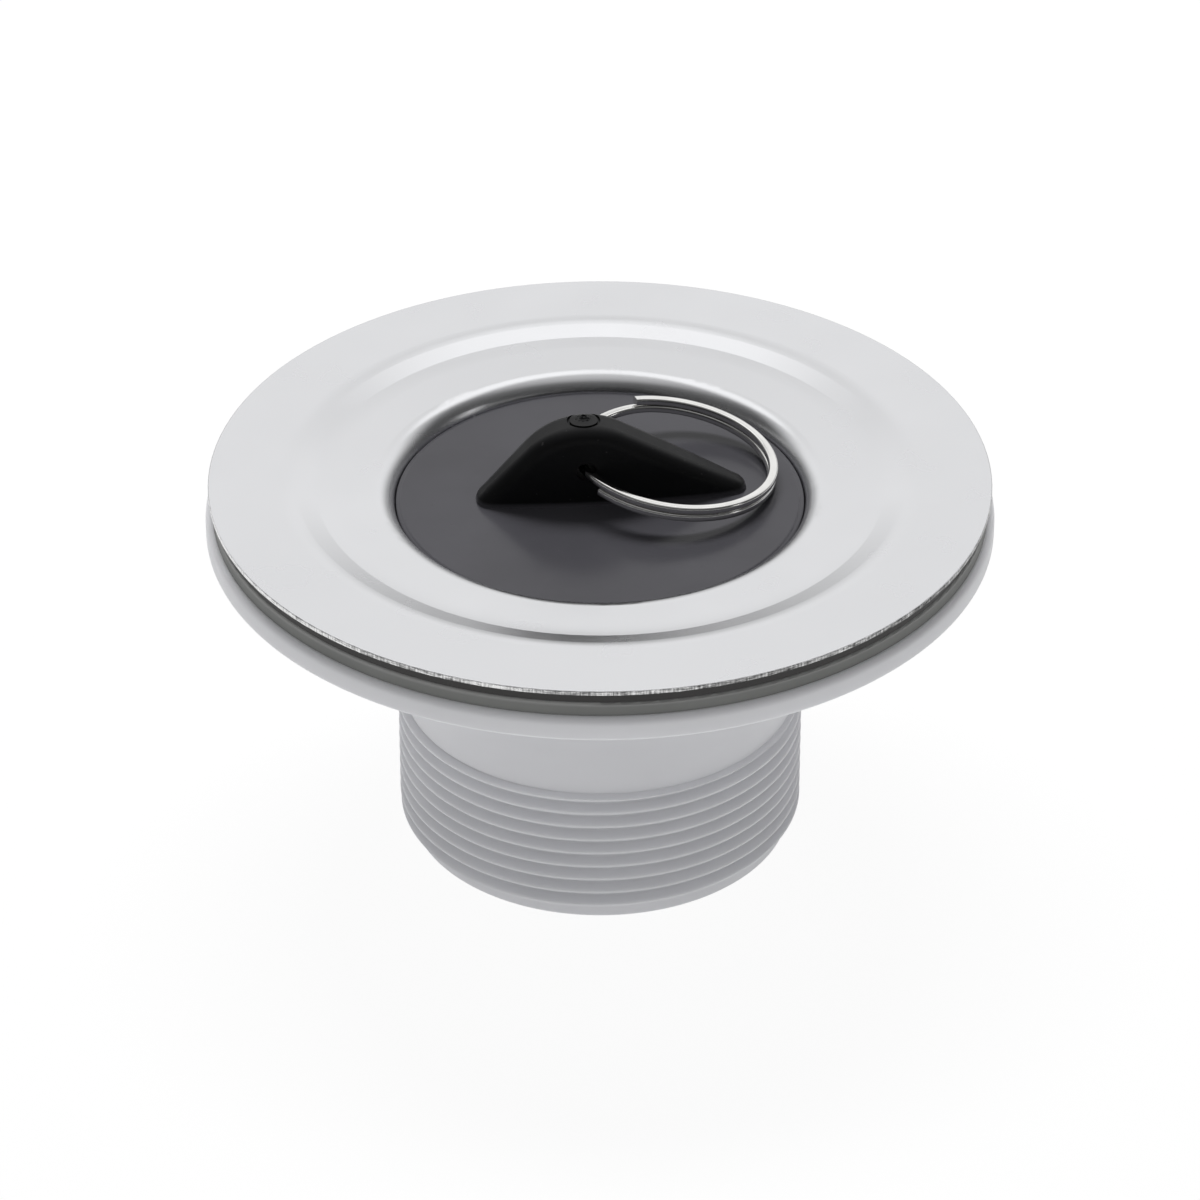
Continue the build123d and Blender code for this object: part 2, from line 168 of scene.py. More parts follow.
# Finishes and painted light: widths and heights of the bands where a finish or a painted light or shade
# changes, and depths of grain, in millimetres
SHEAR_W = 0.07
SHEAR_SHARP_W = 0.03
SHEAR_DEPTH = 0.08
# The cut edge's colour goes from paler to darker between these: painted shade towards the right
SHEAR_PALE_X = -45
SHEAR_DARK_X = 35
SKIN_FROM_H = 0.15
SKIN_FULL_H = 0.9
# The grey seal's painted highlight: it starts this far below the seal's top and is full this far below it
SEAL_HIGHLIGHT_FROM = 0.75
SEAL_HIGHLIGHT_FULL = 0.30
PLASTIC_GRAIN = 0.003
PLASTIC_GLOW_DEPTH = 1.2
RUBBER_GRAIN = 0.0025
RUBBER_PIT_DEPTH = 0.012
SEAL_GRAIN = 0.005
WIRE_GRAIN = 0.0015
TURNING_MARK_DEPTH = 0.003

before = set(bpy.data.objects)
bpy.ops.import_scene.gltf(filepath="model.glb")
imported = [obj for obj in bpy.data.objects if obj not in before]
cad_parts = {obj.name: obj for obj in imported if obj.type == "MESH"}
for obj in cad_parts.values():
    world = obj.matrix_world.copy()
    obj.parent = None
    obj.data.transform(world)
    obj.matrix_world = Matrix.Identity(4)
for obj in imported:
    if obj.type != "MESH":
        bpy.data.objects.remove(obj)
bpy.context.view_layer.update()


flange_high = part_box("sink_flange")[1]
plug_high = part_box("plug")[1]
seal_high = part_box("lower_seal")[1]
RIM_TOP = flange_high.z
RIM_R = flange_high.x
DISC_TOP = RIM_TOP - DISC_DROP * MM
SCREW_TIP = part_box("clamp_screw")[0].z / MM
SCREW_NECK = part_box("clamp_screw")[1].z / MM - SCREW_HEAD_AND_NECK_H


# Node helpers


class NodeTree:
    """A node tree with short calls for the nodes that the finishes, the floor and the world share."""

    def __init__(self, tree):
        self.nodes, self.links = tree.nodes, tree.links

    def add(self, kind, inputs=None, **settings):
        """A new node with its settings, and its inputs set or linked."""
        made = self.nodes.new(kind)
        for key, value in settings.items():
            setattr(made, key, value)
        for key, value in (inputs or {}).items():
            self.feed(made.inputs[key], value)
        return made

    def feed(self, socket, value):
        """Links an output to a socket, or sets the socket's value."""
        if isinstance(value, bpy.types.NodeSocket):
            self.links.new(value, socket)
        else:
            socket.default_value = value

    def math(self, operation, first, second=0.0):
        """One scalar operation."""
        return self.add("ShaderNodeMath", {0: first, 1: second}, operation=operation).outputs[0]

    def split(self, vector):
        """A vector's three coordinates."""
        return self.add("ShaderNodeSeparateXYZ", {0: vector}).outputs

    def flat_length(self, x, y):
        """Length of a vector that lies flat."""
        return self.math("SQRT", self.math("ADD", self.math("MULTIPLY", x, x), self.math("MULTIPLY", y, y)))

    def ramp(self, value, stops):
        """A colour ramp with (position, colour) stops. A plain number is a grey."""
        made = self.add("ShaderNodeValToRGB", {"Fac": value})
        points = made.color_ramp.elements
        while len(points) < len(stops):
            points.new(0.5)
        for point, (position, colour) in zip(points, stops):
            point.position = position
            point.color = grey(colour) if isinstance(colour, float) else (*colour, 1.0)
        return made.outputs["Color"]

    def between(self, value, low, high, new_low, new_high):
        """A value moved from one range to another, held at its ends."""
        made = self.add(
            "ShaderNodeMapRange",
            {"Value": value, "From Min": low, "From Max": high, "To Min": new_low, "To Max": new_high},
        )
        return made.outputs["Result"]

    def choose(self, share, first, second):
        """Mix of two shaders."""
        return self.add("ShaderNodeMixShader", {0: share, 1: first, 2: second}).outputs[0]


class Shader(NodeTree):
    """A material with one main shader, in the object's own coordinates."""

    def __init__(self, name):
        self.material = bpy.data.materials.new(name)
        self.material.use_nodes = True
        super().__init__(self.material.node_tree)
        self.principled = self.nodes["Principled BSDF"]
        self.place = self.add("ShaderNodeTexCoord").outputs["Object"]

    def set(self, **values):
        """Sets or links the main shader's sockets."""
        for key, value in values.items():
            self.feed(self.principled.inputs[key.replace("_", " ")], value)

    def noise(self, scale, detail=2.0, roughness=0.5, place=None):
        """Noise between 0 and 1."""
        made = self.add(
            "ShaderNodeTexNoise",
            {"Vector": place or self.place, "Scale": scale, "Detail": detail, "Roughness": roughness},
        )
        return made.outputs["Fac"]

    def stretched(self, x, y, z):
        """The object's coordinates times one factor for each axis."""
        made = self.add("ShaderNodeVectorMath", {0: self.place, 1: (x, y, z)}, operation="MULTIPLY")
        return made.outputs[0]

    def radius(self):
        """Distance from the valve's axis."""
        x, y = self.split(self.place)[:2]
        return self.flat_length(x, y)

    def height(self):
        """Height above the tail's end."""
        return self.split(self.place)[2]

    def polar(self, angle_scale, radius_scale, height_scale):
        """Coordinates (angle, radius, height) about the valve's axis, each times its factor."""
        x, y, z = self.split(self.place)
        made = self.add(
            "ShaderNodeCombineXYZ",
            {
                0: self.math("MULTIPLY", self.math("ARCTAN2", y, x), angle_scale),
                1: self.math("MULTIPLY", self.radius(), radius_scale),
                2: self.math("MULTIPLY", z, height_scale),
            },
        )
        return made.outputs[0]

    def mix(self, share, first, second):
        """Colour mix."""
        return self.add("ShaderNodeMix", {0: share, 6: first, 7: second}, data_type="RGBA").outputs[2]

    def bump(self, height, distance, normal=None):
        """A bump from a height between 0 and 1 that stands for a distance in metres."""
        made = self.add("ShaderNodeBump", {"Height": height, "Distance": distance})
        if normal is not None:
            self.feed(made.inputs["Normal"], normal)
        return made.outputs["Normal"]


def grey(value):
    """An opaque grey."""
    return (value, value, value, 1.0)


# Finishes


def satin_steel():
    """Pressed stainless sheet: an even satin, and a shear-cut outer edge with light and dark flecks. The
    dark flecks are painted shade, and the edge is painted darker towards the right.
    """
    s = Shader("flange_steel")
    smudge = s.noise(26, 2.0)
    sheet = s.ramp(smudge, [(0.3, (0.732, 0.736, 0.752)), (0.7, (0.746, 0.750, 0.766))])
    combed = s.noise(1.0, 2.0, 0.6, place=s.polar(150, 0, 120))
    flecked = s.noise(1.0, 3.0, 0.7, place=s.polar(26, 0, 3200))
    patches = s.noise(1.0, 1.0, place=s.polar(2.6, 0, 0))
    across = s.split(s.place)[0]
    # The edge is painted paler at the left and darker at the right, and its dark flecks are painted shade in
    # the tears; the tears' bump is real
    painted_shade_to_right = s.between(across, SHEAR_PALE_X * MM, SHEAR_DARK_X * MM, 0.10, -0.05)
    tears = s.math("ADD", s.math("MULTIPLY", combed, 0.4), s.math("MULTIPLY", flecked, 0.6))
    streaks = s.math("ADD", s.math("ADD", tears, s.math("MULTIPLY", patches, 0.30)), painted_shade_to_right)
    painted_edge_shade = s.ramp(streaks, [(0.50, 0.03), (0.58, 0.16), (0.66, 0.38), (0.76, 0.80)])
    edge = s.between(s.radius(), RIM_R - SHEAR_W * MM, RIM_R - SHEAR_SHARP_W * MM, 0.0, 1.0)
    s.set(Metallic=1.0)
    s.set(Base_Color=s.mix(edge, sheet, painted_edge_shade))
    s.set(Roughness=s.between(s.noise(90, 3.0), 0.3, 0.7, 0.24, 0.28))
    s.set(Normal=s.bump(s.math("MULTIPLY", tears, edge), SHEAR_DEPTH * MM))
    return s.material


def moulded_plastic():
    """Pale grey moulded plastic with faint flow marks, which lets a little light through."""
    s = Shader("body_plastic")
    flow = s.noise(1.0, 3.0, place=s.stretched(30, 30, 90))
    s.set(Base_Color=s.ramp(flow, [(0.3, (0.715, 0.718, 0.740)), (0.7, (0.750, 0.753, 0.776))]))
    s.set(Roughness=s.between(s.noise(220, 3.0), 0.3, 0.7, 0.38, 0.46))
    s.set(Normal=s.bump(s.noise(2600, 3.0), PLASTIC_GRAIN * MM))
    s.set(Subsurface_Weight=0.35, Subsurface_Radius=(1.0, 1.0, 1.0))
    s.set(Subsurface_Scale=PLASTIC_GLOW_DEPTH * MM)
    return s.material


def black_rubber():
    """Black moulded rubber: a satin disc whose paler, cooler colour is a painted sheen, and a handle with a
    duller skin whose near-black colour is painted shade.
    """
    s = Shader("plug_rubber")
    skin_low, skin_high = DISC_TOP + SKIN_FROM_H * MM, DISC_TOP + SKIN_FULL_H * MM
    handle = s.between(s.height(), skin_low, skin_high, 0.0, 1.0)
    clouds = s.noise(70, 3.0)
    # Disc and handle are one rubber: the disc's paler, bluer colour is a painted sheen, the handle's
    # near-black colour painted shade
    disc = s.ramp(clouds, [(0.3, (0.051, 0.050, 0.0565)), (0.7, (0.059, 0.058, 0.066))])
    painted_shade_handle = s.ramp(clouds, [(0.3, (0.0035, 0.0035, 0.004)), (0.7, (0.005, 0.005, 0.0055))])
    specks = s.ramp(s.noise(1500, 1.0, 0.4), [(0.755, 0.0), (0.77, 1.0)])
    base = s.mix(handle, disc, painted_shade_handle)
    s.set(Base_Color=s.mix(s.math("MULTIPLY", specks, 0.5), base, grey(0.05)))
    s.set(IOR=1.6)
    s.set(Specular_IOR_Level=0.16)
    rubbed = s.between(s.noise(240, 3.0), 0.3, 0.7, -0.02, 0.03)
    s.set(Roughness=s.math("ADD", s.between(handle, 0.0, 1.0, 0.20, 0.44), rubbed))
    pits = s.between(s.noise(1300, 1.0), 0.22, 0.27, 0.0, 1.0)
    grain = s.bump(s.noise(2200, 3.0), RUBBER_GRAIN * MM)
    s.set(Normal=s.bump(pits, RUBBER_PIT_DEPTH * MM, normal=grain))
    return s.material


def seal_rubber(name, low, high):
    """Matt seal rubber: its shader, and its colour as an output."""
    s = Shader(name)
    s.set(Roughness=0.55)
    s.set(Normal=s.bump(s.noise(1800, 3.0), SEAL_GRAIN * MM))
    return s, s.ramp(s.noise(120, 3.0), [(0.3, low), (0.7, high)])


def dark_seal_rubber():
    """The thin dark seal under the steel rim."""
    s, colour = seal_rubber("dark_seal", (0.017, 0.016, 0.015), (0.024, 0.022, 0.021))
    s.set(Base_Color=colour)
    return s.material


def grey_seal_rubber():
    """The grey seal on the plastic flange, with a painted highlight along its upper edge."""
    s, colour = seal_rubber("grey_seal", (0.155, 0.159, 0.153), (0.174, 0.178, 0.171))
    # The upper edge is painted paler, a painted highlight where light falls on it
    low, high = seal_high.z - SEAL_HIGHLIGHT_FROM * MM, seal_high.z - SEAL_HIGHLIGHT_FULL * MM
    painted_highlight = s.between(s.height(), low, high, 0.0, 0.75)
    s.set(Base_Color=s.mix(painted_highlight, colour, (0.30, 0.30, 0.295, 1.0)))
    return s.material


def bright_wire():
    """Nickelled wire with fine drawing marks."""
    s = Shader("ring_wire")
    stops = [(0.35, (0.76, 0.755, 0.74)), (0.65, (0.82, 0.815, 0.80))]
    s.set(Base_Color=s.ramp(s.noise(260, 2.0), stops))
    s.set(Metallic=1.0)
    s.set(Roughness=s.between(s.noise(700, 3.0), 0.3, 0.7, 0.09, 0.16))
    s.set(Normal=s.bump(s.noise(2500, 2.0), WIRE_GRAIN * MM))
    return s.material


def plain_metal(name, colour, roughness):
    """Turned metal."""
    s = Shader(name)
    s.set(Base_Color=(*colour, 1.0), Metallic=1.0)
    s.set(Roughness=s.between(s.noise(400, 3.0), 0.3, 0.7, roughness - 0.05, roughness + 0.05))
    marks = s.noise(1.0, 2.0, place=s.polar(4, 4000, 9000))
    s.set(Normal=s.bump(marks, TURNING_MARK_DEPTH * MM))
    return s.material


# Mesh helpers: sizes in millimetres


def arc(centre_r, centre_z, radius, start, end, steps=6):
    """Points (radius, height) on a small arc of a section, with angles in degrees."""
    points = []
    for i in range(steps + 1):
        turned = math.radians(start + (end - start) * i / steps)
        points.append((centre_r + radius * math.cos(turned), centre_z + radius * math.sin(turned)))
    return points


def turn_section(bm, section, columns):
    """Adds a closed section turned about the axis. The section may depend on the angle."""
    rings = []
    for i in range(columns):
        angle = 2 * math.pi * i / columns
        c, s = math.cos(angle), math.sin(angle)
        rings.append([bm.verts.new((r * c * MM, r * s * MM, z * MM)) for r, z in section(angle)])
    count = len(rings[0])
    for i in range(columns):
        here, there = rings[i], rings[(i + 1) % columns]
        for j in range(count):
            k = (j + 1) % count
            bm.faces.new((here[j], there[j], there[k], here[k]))


def plate(bm, outline, thickness, turn, rounding):
    """Adds a plate that stands on edge: an outline (radius, height), centred on its thickness."""
    made = bmesh.new()
    sides = []
    for y in (-thickness / 2, thickness / 2):
        sides.append([made.verts.new((r * MM, y * MM, z * MM)) for r, z in outline])
    made.faces.new(sides[0])
    made.faces.new(list(reversed(sides[1])))
    count = len(outline)
    for j in range(count):
        k = (j + 1) % count
        made.faces.new((sides[0][j], sides[1][j], sides[1][k], sides[0][k]))
    bmesh.ops.recalc_face_normals(made, faces=made.faces)
    bmesh.ops.bevel(
        made, geom=list(made.edges), offset=rounding * MM, segments=3, profile=0.5, affect="EDGES"
    )
    made.transform(Matrix.Rotation(turn, 4, "Z"))
    part = bpy.data.meshes.new("plate")
    made.to_mesh(part)
    made.free()
    bm.from_mesh(part)
    bpy.data.meshes.remove(part)


def finished(bm, name, material, sharp=SHARP_ANGLE):
    """An object from the gathered mesh, smooth but for its sharp edges."""
    bmesh.ops.recalc_face_normals(bm, faces=bm.faces)
    mesh = bpy.data.meshes.new(name)
    bm.to_mesh(mesh)
    bm.free()
    mesh.shade_smooth()
    mesh.set_sharp_from_angle(angle=sharp)
    mesh.materials.append(material)
    obj = bpy.data.objects.new(name, mesh)
    bpy.context.scene.collection.objects.link(obj)
    return obj


def thread_radius(angle, z):
    """Radius of the tail's thread: round crests and roots, straight flanks, and bevelled ends."""
    turns = (z - THREAD_FIRST_GROOVE) / THREAD_PITCH - angle / (2 * math.pi)
    from_crest = abs(turns - math.floor(turns) - 0.5) * THREAD_PITCH
    flank = math.tan(THREAD_FLANK_ANGLE)
    round_w = THREAD_ROUND * math.cos(THREAD_FLANK_ANGLE)
    round_h = THREAD_ROUND * (1 - math.sin(THREAD_FLANK_ANGLE))
    from_root = THREAD_PITCH / 2 - from_crest
    if from_crest < round_w:
        radius = THREAD_MAJOR_R - THREAD_ROUND + math.sqrt(THREAD_ROUND**2 - from_crest**2)
    elif from_root < round_w:
        radius = THREAD_ROOT_R + THREAD_ROUND - math.sqrt(THREAD_ROUND**2 - from_root**2)
    else:
        radius = THREAD_MAJOR_R - round_h - (from_crest - round_w) / flank
    low_end = LEAD_IN_R + (z - THREAD_BOTTOM) / THREAD_END_H * (THREAD_MAJOR_R - LEAD_IN_R)
    high_end = NECK_R + (THREAD_TOP - z) / THREAD_END_H * (THREAD_MAJOR_R - NECK_R)
    return min(radius, low_end, high_end)


def body_section(angle):
    """The moulding's section: up the bore and over the flange, down the bowl and the threaded tail."""
    guide_inner_r = GUIDE_OUTER_R - GUIDE_W
    top_round = FLANGE_R - FLANGE_TOP_ROUND
    bottom_round = FLANGE_R - FLANGE_BOTTOM_ROUND
    loop = [(BORE_R + TAIL_CHAMFER, 0), (BORE_R, TAIL_CHAMFER)]
    loop += [(BORE_R, NECK_TOP), (BOWL_INNER_R, BOWL_FLOOR)]
    loop += [(BOWL_INNER_R, FLANGE_TOP), (guide_inner_r, FLANGE_TOP), (guide_inner_r, FLANGE_TOP + GUIDE_H)]
    loop += [(GUIDE_OUTER_R, FLANGE_TOP + GUIDE_H), (GUIDE_OUTER_R, FLANGE_TOP)]
    loop += arc(top_round, FLANGE_TOP - FLANGE_TOP_ROUND, FLANGE_TOP_ROUND, 90, 0)
    loop += arc(bottom_round, FLANGE_BOTTOM + FLANGE_BOTTOM_ROUND, FLANGE_BOTTOM_ROUND, 0, -90)
    loop += [(BOWL_OUTER_R, FLANGE_BOTTOM), (BOWL_OUTER_R, BOWL_FLOOR)]
    loop += [(NECK_R, NECK_TOP), (NECK_R, THREAD_TOP)]
    rows = round((THREAD_TOP - THREAD_BOTTOM) / THREAD_PITCH * THREAD_ROWS_PER_TURN)
    for i in range(rows + 1):
        z = THREAD_TOP + (THREAD_BOTTOM - THREAD_TOP) * i / rows
        loop.append((thread_radius(angle, z) - (ROW_STEP if i == 0 else 0), z))
    loop += [(LEAD_IN_R - ROW_STEP, THREAD_BOTTOM), (LEAD_IN_R, TAIL_CHAMFER), (LEAD_IN_R - TAIL_CHAMFER, 0)]
    return loop


def hub_section(angle):
    """The hub's section, with the pocket that holds the insert."""
    rounded = MOULD_ROUND
    loop = [(HUB_HOLE_R, HUB_BOTTOM), (HUB_HOLE_R, HUB_BOTTOM + HUB_CAP_T)]
    loop += [(HUB_POCKET_R, HUB_BOTTOM + HUB_CAP_T), (HUB_POCKET_R, HUB_TOP - HUB_CAP_T)]
    loop += [(HUB_HOLE_R, HUB_TOP - HUB_CAP_T), (HUB_HOLE_R, HUB_TOP)]
    loop += arc(HUB_R - rounded, HUB_TOP - rounded, rounded, 90, 0)
    loop += arc(HUB_R - rounded, HUB_BOTTOM + rounded, rounded, 0, -90)
    return loop


def make_body(material):
    """The moulded body with its rounded thread, its gussets, hub and spokes."""
    bm = bmesh.new()
    turn_section(bm, body_section, LATHE_COLUMNS)
    turn_section(bm, hub_section, HUB_COLUMNS)
    wall_mid = (BOWL_INNER_R + BOWL_OUTER_R) / 2
    gusset = [
        (wall_mid, FLANGE_BOTTOM + PLATE_SINK),
        (BOWL_OUTER_R + RIB_REACH + PLATE_SINK, FLANGE_BOTTOM + PLATE_SINK),
        (BOWL_OUTER_R + RIB_REACH, FLANGE_BOTTOM),
        (BOWL_OUTER_R, FLANGE_BOTTOM - RIB_H),
        (wall_mid, FLANGE_BOTTOM - RIB_H),
    ]
    for i in range(RIB_COUNT):
        plate(bm, gusset, RIB_T, 2 * math.pi * i / RIB_COUNT, MOULD_ROUND)
    reach = BORE_R + PLATE_SINK
    inside = HUB_R - PLATE_SINK
    top = HUB_BOTTOM + SPOKE_H
    spoke = [(inside, HUB_BOTTOM), (reach, HUB_BOTTOM), (reach, top), (inside, top)]
    for i in range(SPOKE_COUNT):
        plate(bm, spoke, SPOKE_T, 2 * math.pi * i / SPOKE_COUNT, MOULD_ROUND)
    body = finished(bm, "body_moulding", material)
    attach(body, "body")
    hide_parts("waste_body")


def wire_section():
    """The flattened wire's section: a rectangle with well rounded corners, round its middle."""
    half_w, half_h = RING_WIRE_W / 2 - RING_WIRE_ROUND, RING_WIRE_H / 2 - RING_WIRE_ROUND
    corners = ((half_w, half_h, 0), (-half_w, half_h, 90), (-half_w, -half_h, 180), (half_w, -half_h, 270))
    points = []
    for x, y, start in corners:
        points += arc(x, y, RING_WIRE_ROUND, start, start + 90, RING_WIRE_CORNER_STEPS)
    return points


def make_ring(material):
    """Two turns of flattened wire that lie almost on each other, with square cut ends."""
    normal = Vector((math.sin(RING_LEAN_X), math.sin(RING_LEAN_Y), 1)).normalized()
    toward = Vector((math.cos(RING_YAW), math.sin(RING_YAW), 0))
    toward = (toward - normal * toward.dot(normal)).normalized()
    across = normal.cross(toward)
    middle = (RING_START + RING_END) / 2
    steps = round((RING_END - RING_START) / RING_STEP)
    section = wire_section()
    bm = bmesh.new()
    rings = []
    for i in range(steps + 1):
        turned = RING_START + (RING_END - RING_START) * i / steps
        a = math.radians(turned)
        out = toward * math.cos(a) + across * math.sin(a)
        sag = RING_SAG * math.exp(-(((turned - RING_SAG_AT) / RING_SAG_SPREAD) ** 2))
        centre = RING_CENTRE + out * RING_R + normal * (RING_PITCH * (turned - middle) / 360 - sag)
        rings.append([bm.verts.new((centre + out * x + normal * y) * MM) for x, y in section])
    count = len(section)
    for here, there in zip(rings[:-1], rings[1:]):
        for j in range(count):
            k = (j + 1) % count
            bm.faces.new((here[j], there[j], there[k], here[k]))
    bm.faces.new(rings[0])
    bm.faces.new(list(reversed(rings[-1])))
    ring = finished(bm, "ring_coil", material)
    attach(ring, "ring")
    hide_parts("split_ring")


def gate_rise(x, y):
    """Height of the gate's scar over the handle: low lumps, and a torn pit with a raised lip."""
    spot = Vector((x * GATE_LUMP_SCALE_X, y * GATE_LUMP_SCALE_Y, GATE_LUMP_SEED))
    fine = GATE_FINE_SHARE * noise.noise(spot * GATE_FINE_SCALE)
    lump = max(0.0, noise.noise(spot) + fine + GATE_LUMP_LIFT)
    pit = math.exp(-((x - GATE_PIT_X) ** 2 + (y - GATE_PIT_Y) ** 2) / GATE_PIT_SPREAD)
    from_lip = math.hypot(x - GATE_PIT_X, y - GATE_PIT_Y) - GATE_PIT_LIP_R
    lip = math.exp(-(from_lip**2) / GATE_PIT_LIP_SPREAD)
    return GATE_H * (GATE_LUMP_SHARE * lump + GATE_PIT_LIP_SHARE * lip - GATE_PIT_SHARE * pit + GATE_LIFT)


def make_gate(material):
    """The rough scar that the mould's gate leaves inside the ring groove."""
    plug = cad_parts["plug"]
    bm = bmesh.new()
    rows = []
    for i in range(GATE_ROWS + 1):
        reach = GATE_R * i / GATE_ROWS
        row = []
        for j in range(GATE_COLUMNS):
            a = 2 * math.pi * j / GATE_COLUMNS
            x, y = reach * math.cos(a), reach * math.sin(a) * GATE_DEPTH_SHARE
            rise = gate_rise(x, y)
            fade = 1 - (i / GATE_ROWS) ** GATE_FADE_POWER
            above = Vector(((GATE_X + x) * MM, (GATE_Y + y) * MM, plug_high.z + GATE_RAY_ABOVE * MM))
            hit, place = plug.ray_cast(above, Vector((0, 0, -1)))[:2]
            z = place.z / MM if hit else plug_high.z / MM
            z += rise * fade - GATE_SINK * (1 - fade)
            row.append(bm.verts.new(((GATE_X + x) * MM, (GATE_Y + y) * MM, z * MM)))
            if i == 0:
                break
        rows.append(row)
    for j in range(GATE_COLUMNS):
        k = (j + 1) % GATE_COLUMNS
        bm.faces.new((rows[0][0], rows[1][j], rows[1][k]))
        for inner, outer in zip(rows[1:-1], rows[2:]):
            bm.faces.new((inner[j], outer[j], outer[k], inner[k]))
    foot = [bm.verts.new((v.co.x, v.co.y, v.co.z - GATE_SINK * 2 * MM)) for v in rows[-1]]
    for j in range(GATE_COLUMNS):
        k = (j + 1) % GATE_COLUMNS
        bm.faces.new((rows[-1][j], foot[j], foot[k], rows[-1][k]))
    bm.faces.new(list(reversed(foot)))
    gate = finished(bm, "gate_scar", material, RUBBER_SHARP_ANGLE)
    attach(gate, "plug")


def lip_section(angle):
    """The thin lip at the disc's top edge that wipes the seat."""
    top = DISC_TOP / MM
    return [(r, top + z) for r, z in PLUG_LIP]


def make_plug_lip(material):
    """The lip round the rubber disc, which closes the gap to the steel seat."""
    bm = bmesh.new()
    turn_section(bm, lip_section, LATHE_COLUMNS)
    lip = finished(bm, "plug_lip", material, RUBBER_SHARP_ANGLE)
    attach(lip, "plug")


def screw_section(angle):
    """Outer line of the clamp screw's threaded shank, from its neck down to its tip."""
    low, high = SCREW_TIP, SCREW_NECK
    rows = round((high - low) * SCREW_ROWS_PER_TURN)
    loop = [(SCREW_CORE_R, high)]
    for i in range(rows + 1):
        z = high + (low - high) * i / rows
        turns = z / SCREW_PITCH - angle / (2 * math.pi)
        from_crest = abs(turns - math.floor(turns) - 0.5)
        share = min(1.0, max(0.0, SCREW_FLANK_RATE * from_crest - SCREW_CREST_SHARE))
        radius = SCREW_R - SCREW_THREAD_DEPTH * share
        loop.append((min(radius, SCREW_R - SCREW_TIP_BEVEL + (z - low)), z))
    loop.append((SCREW_CORE_R, low))
    return loop


def make_screw(material):
    """The clamp screw: the solid's own head and neck over a shank with a real thread."""
    bm = bmesh.new()
    bm.from_mesh(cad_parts["clamp_screw"].data)
    geometry = list(bm.verts) + list(bm.edges) + list(bm.faces)
    cut = Vector((0, 0, SCREW_NECK * MM))
    bmesh.ops.bisect_plane(bm, geom=geometry, plane_co=cut, plane_no=(0, 0, 1), clear_inner=True)
    bmesh.ops.holes_fill(bm, edges=[e for e in bm.edges if e.is_boundary])
    turn_section(bm, screw_section, SCREW_COLUMNS)
    screw = finished(bm, "screw_threaded", material)
    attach(screw, "screw")
    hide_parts("clamp_screw")


def dress(node, material):
    """Gives a CAD node its finish."""
    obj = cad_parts[node]
    obj.data.materials.clear()
    obj.data.materials.append(material)


STEEL = satin_steel()
PLASTIC = moulded_plastic()
RUBBER = black_rubber()
WIRE = bright_wire()
GREY_SEAL = grey_seal_rubber()
DARK_SEAL = dark_seal_rubber()
SCREW_STEEL = plain_metal("screw_steel", (0.62, 0.62, 0.6), 0.28)
BRASS = plain_metal("insert_brass", (0.72, 0.52, 0.25), 0.3)

dress("sink_flange", STEEL)
dress("plug", RUBBER)
dress("lower_seal", GREY_SEAL)
dress("upper_seal", DARK_SEAL)
dress("nut_insert", BRASS)
make_body(PLASTIC)
make_ring(WIRE)
make_gate(RUBBER)
make_plug_lip(RUBBER)
make_screw(SCREW_STEEL)


# Studio: floor, world, lamps and camera

FLOOR_SIZE = 8.0
FLOOR_GLOW = 0.94
FLOOR_ALBEDO = 0.9
FLOOR_BOUNCE = 0.5
FILL_LEVEL = 0.30
FILL_LEAN = Vector((-0.10, -0.14, 0.0))

# What gloss shows, as (sine of the elevation, level): the backdrop behind, and the room elsewhere
TOP_LEVEL = 1.25
BACKDROP_LEVELS = [
    (0.0, 0.12),
    (0.06, 0.20),
    (0.15, 0.48),
    (0.27, 0.78),
    (0.40, 1.06),
    (0.48, 1.06),
    (0.57, 0.98),
    (0.66, 0.76),
    (0.76, 0.68),
    (1.0, 0.66),
]
ROOM_LEVELS = [(0.0, 0.07), (0.5, 0.08), (0.8, 0.16), (0.92, 0.48), (1.0, 0.66)]

# The backdrop fades in between these sines of the angle from the valve's sides
BACKDROP_FROM = 0.30
BACKDROP_FULL = 0.75


def seen_directly(tree):
    """An output that is 1 for camera, glossy and transmission rays, and 0 for diffuse ones."""
    path = tree.add("ShaderNodeLightPath").outputs
    seen = tree.math("MAXIMUM", path["Is Camera Ray"], path["Is Glossy Ray"])
    return tree.math("MAXIMUM", seen, path["Is Transmission Ray"])


def make_floor():
    """A pale floor that shows white and keeps a faint shadow of the valve."""
    mesh = bpy.data.meshes.new("floor")
    half = FLOOR_SIZE / 2
    corners = [(-half, -half, 0), (half, -half, 0), (half, half, 0), (-half, half, 0)]
    mesh.from_pydata(corners, [], [(0, 1, 2, 3)])
    floor = bpy.data.objects.new("floor", mesh)
    bpy.context.scene.collection.objects.link(floor)
    material = bpy.data.materials.new("floor")
    material.use_nodes = True
    tree = NodeTree(material.node_tree)
    tree.nodes.remove(tree.nodes["Principled BSDF"])
    lit = tree.add("ShaderNodeBsdfDiffuse", {"Color": grey(FLOOR_ALBEDO)}).outputs[0]
    glow = tree.add("ShaderNodeEmission").outputs[0]
    share = tree.between(seen_directly(tree), 0.0, 1.0, FLOOR_BOUNCE, FLOOR_GLOW)
    tree.feed(tree.nodes["Material Output"].inputs["Surface"], tree.choose(share, lit, glow))
    mesh.materials.append(material)


def world_levels(tree, sine, stops):
    """A level that follows (sine of the elevation, level) stops."""
    shares = [(position, level / TOP_LEVEL) for position, level in stops]
    return tree.math("MULTIPLY", tree.ramp(sine, shares), TOP_LEVEL)


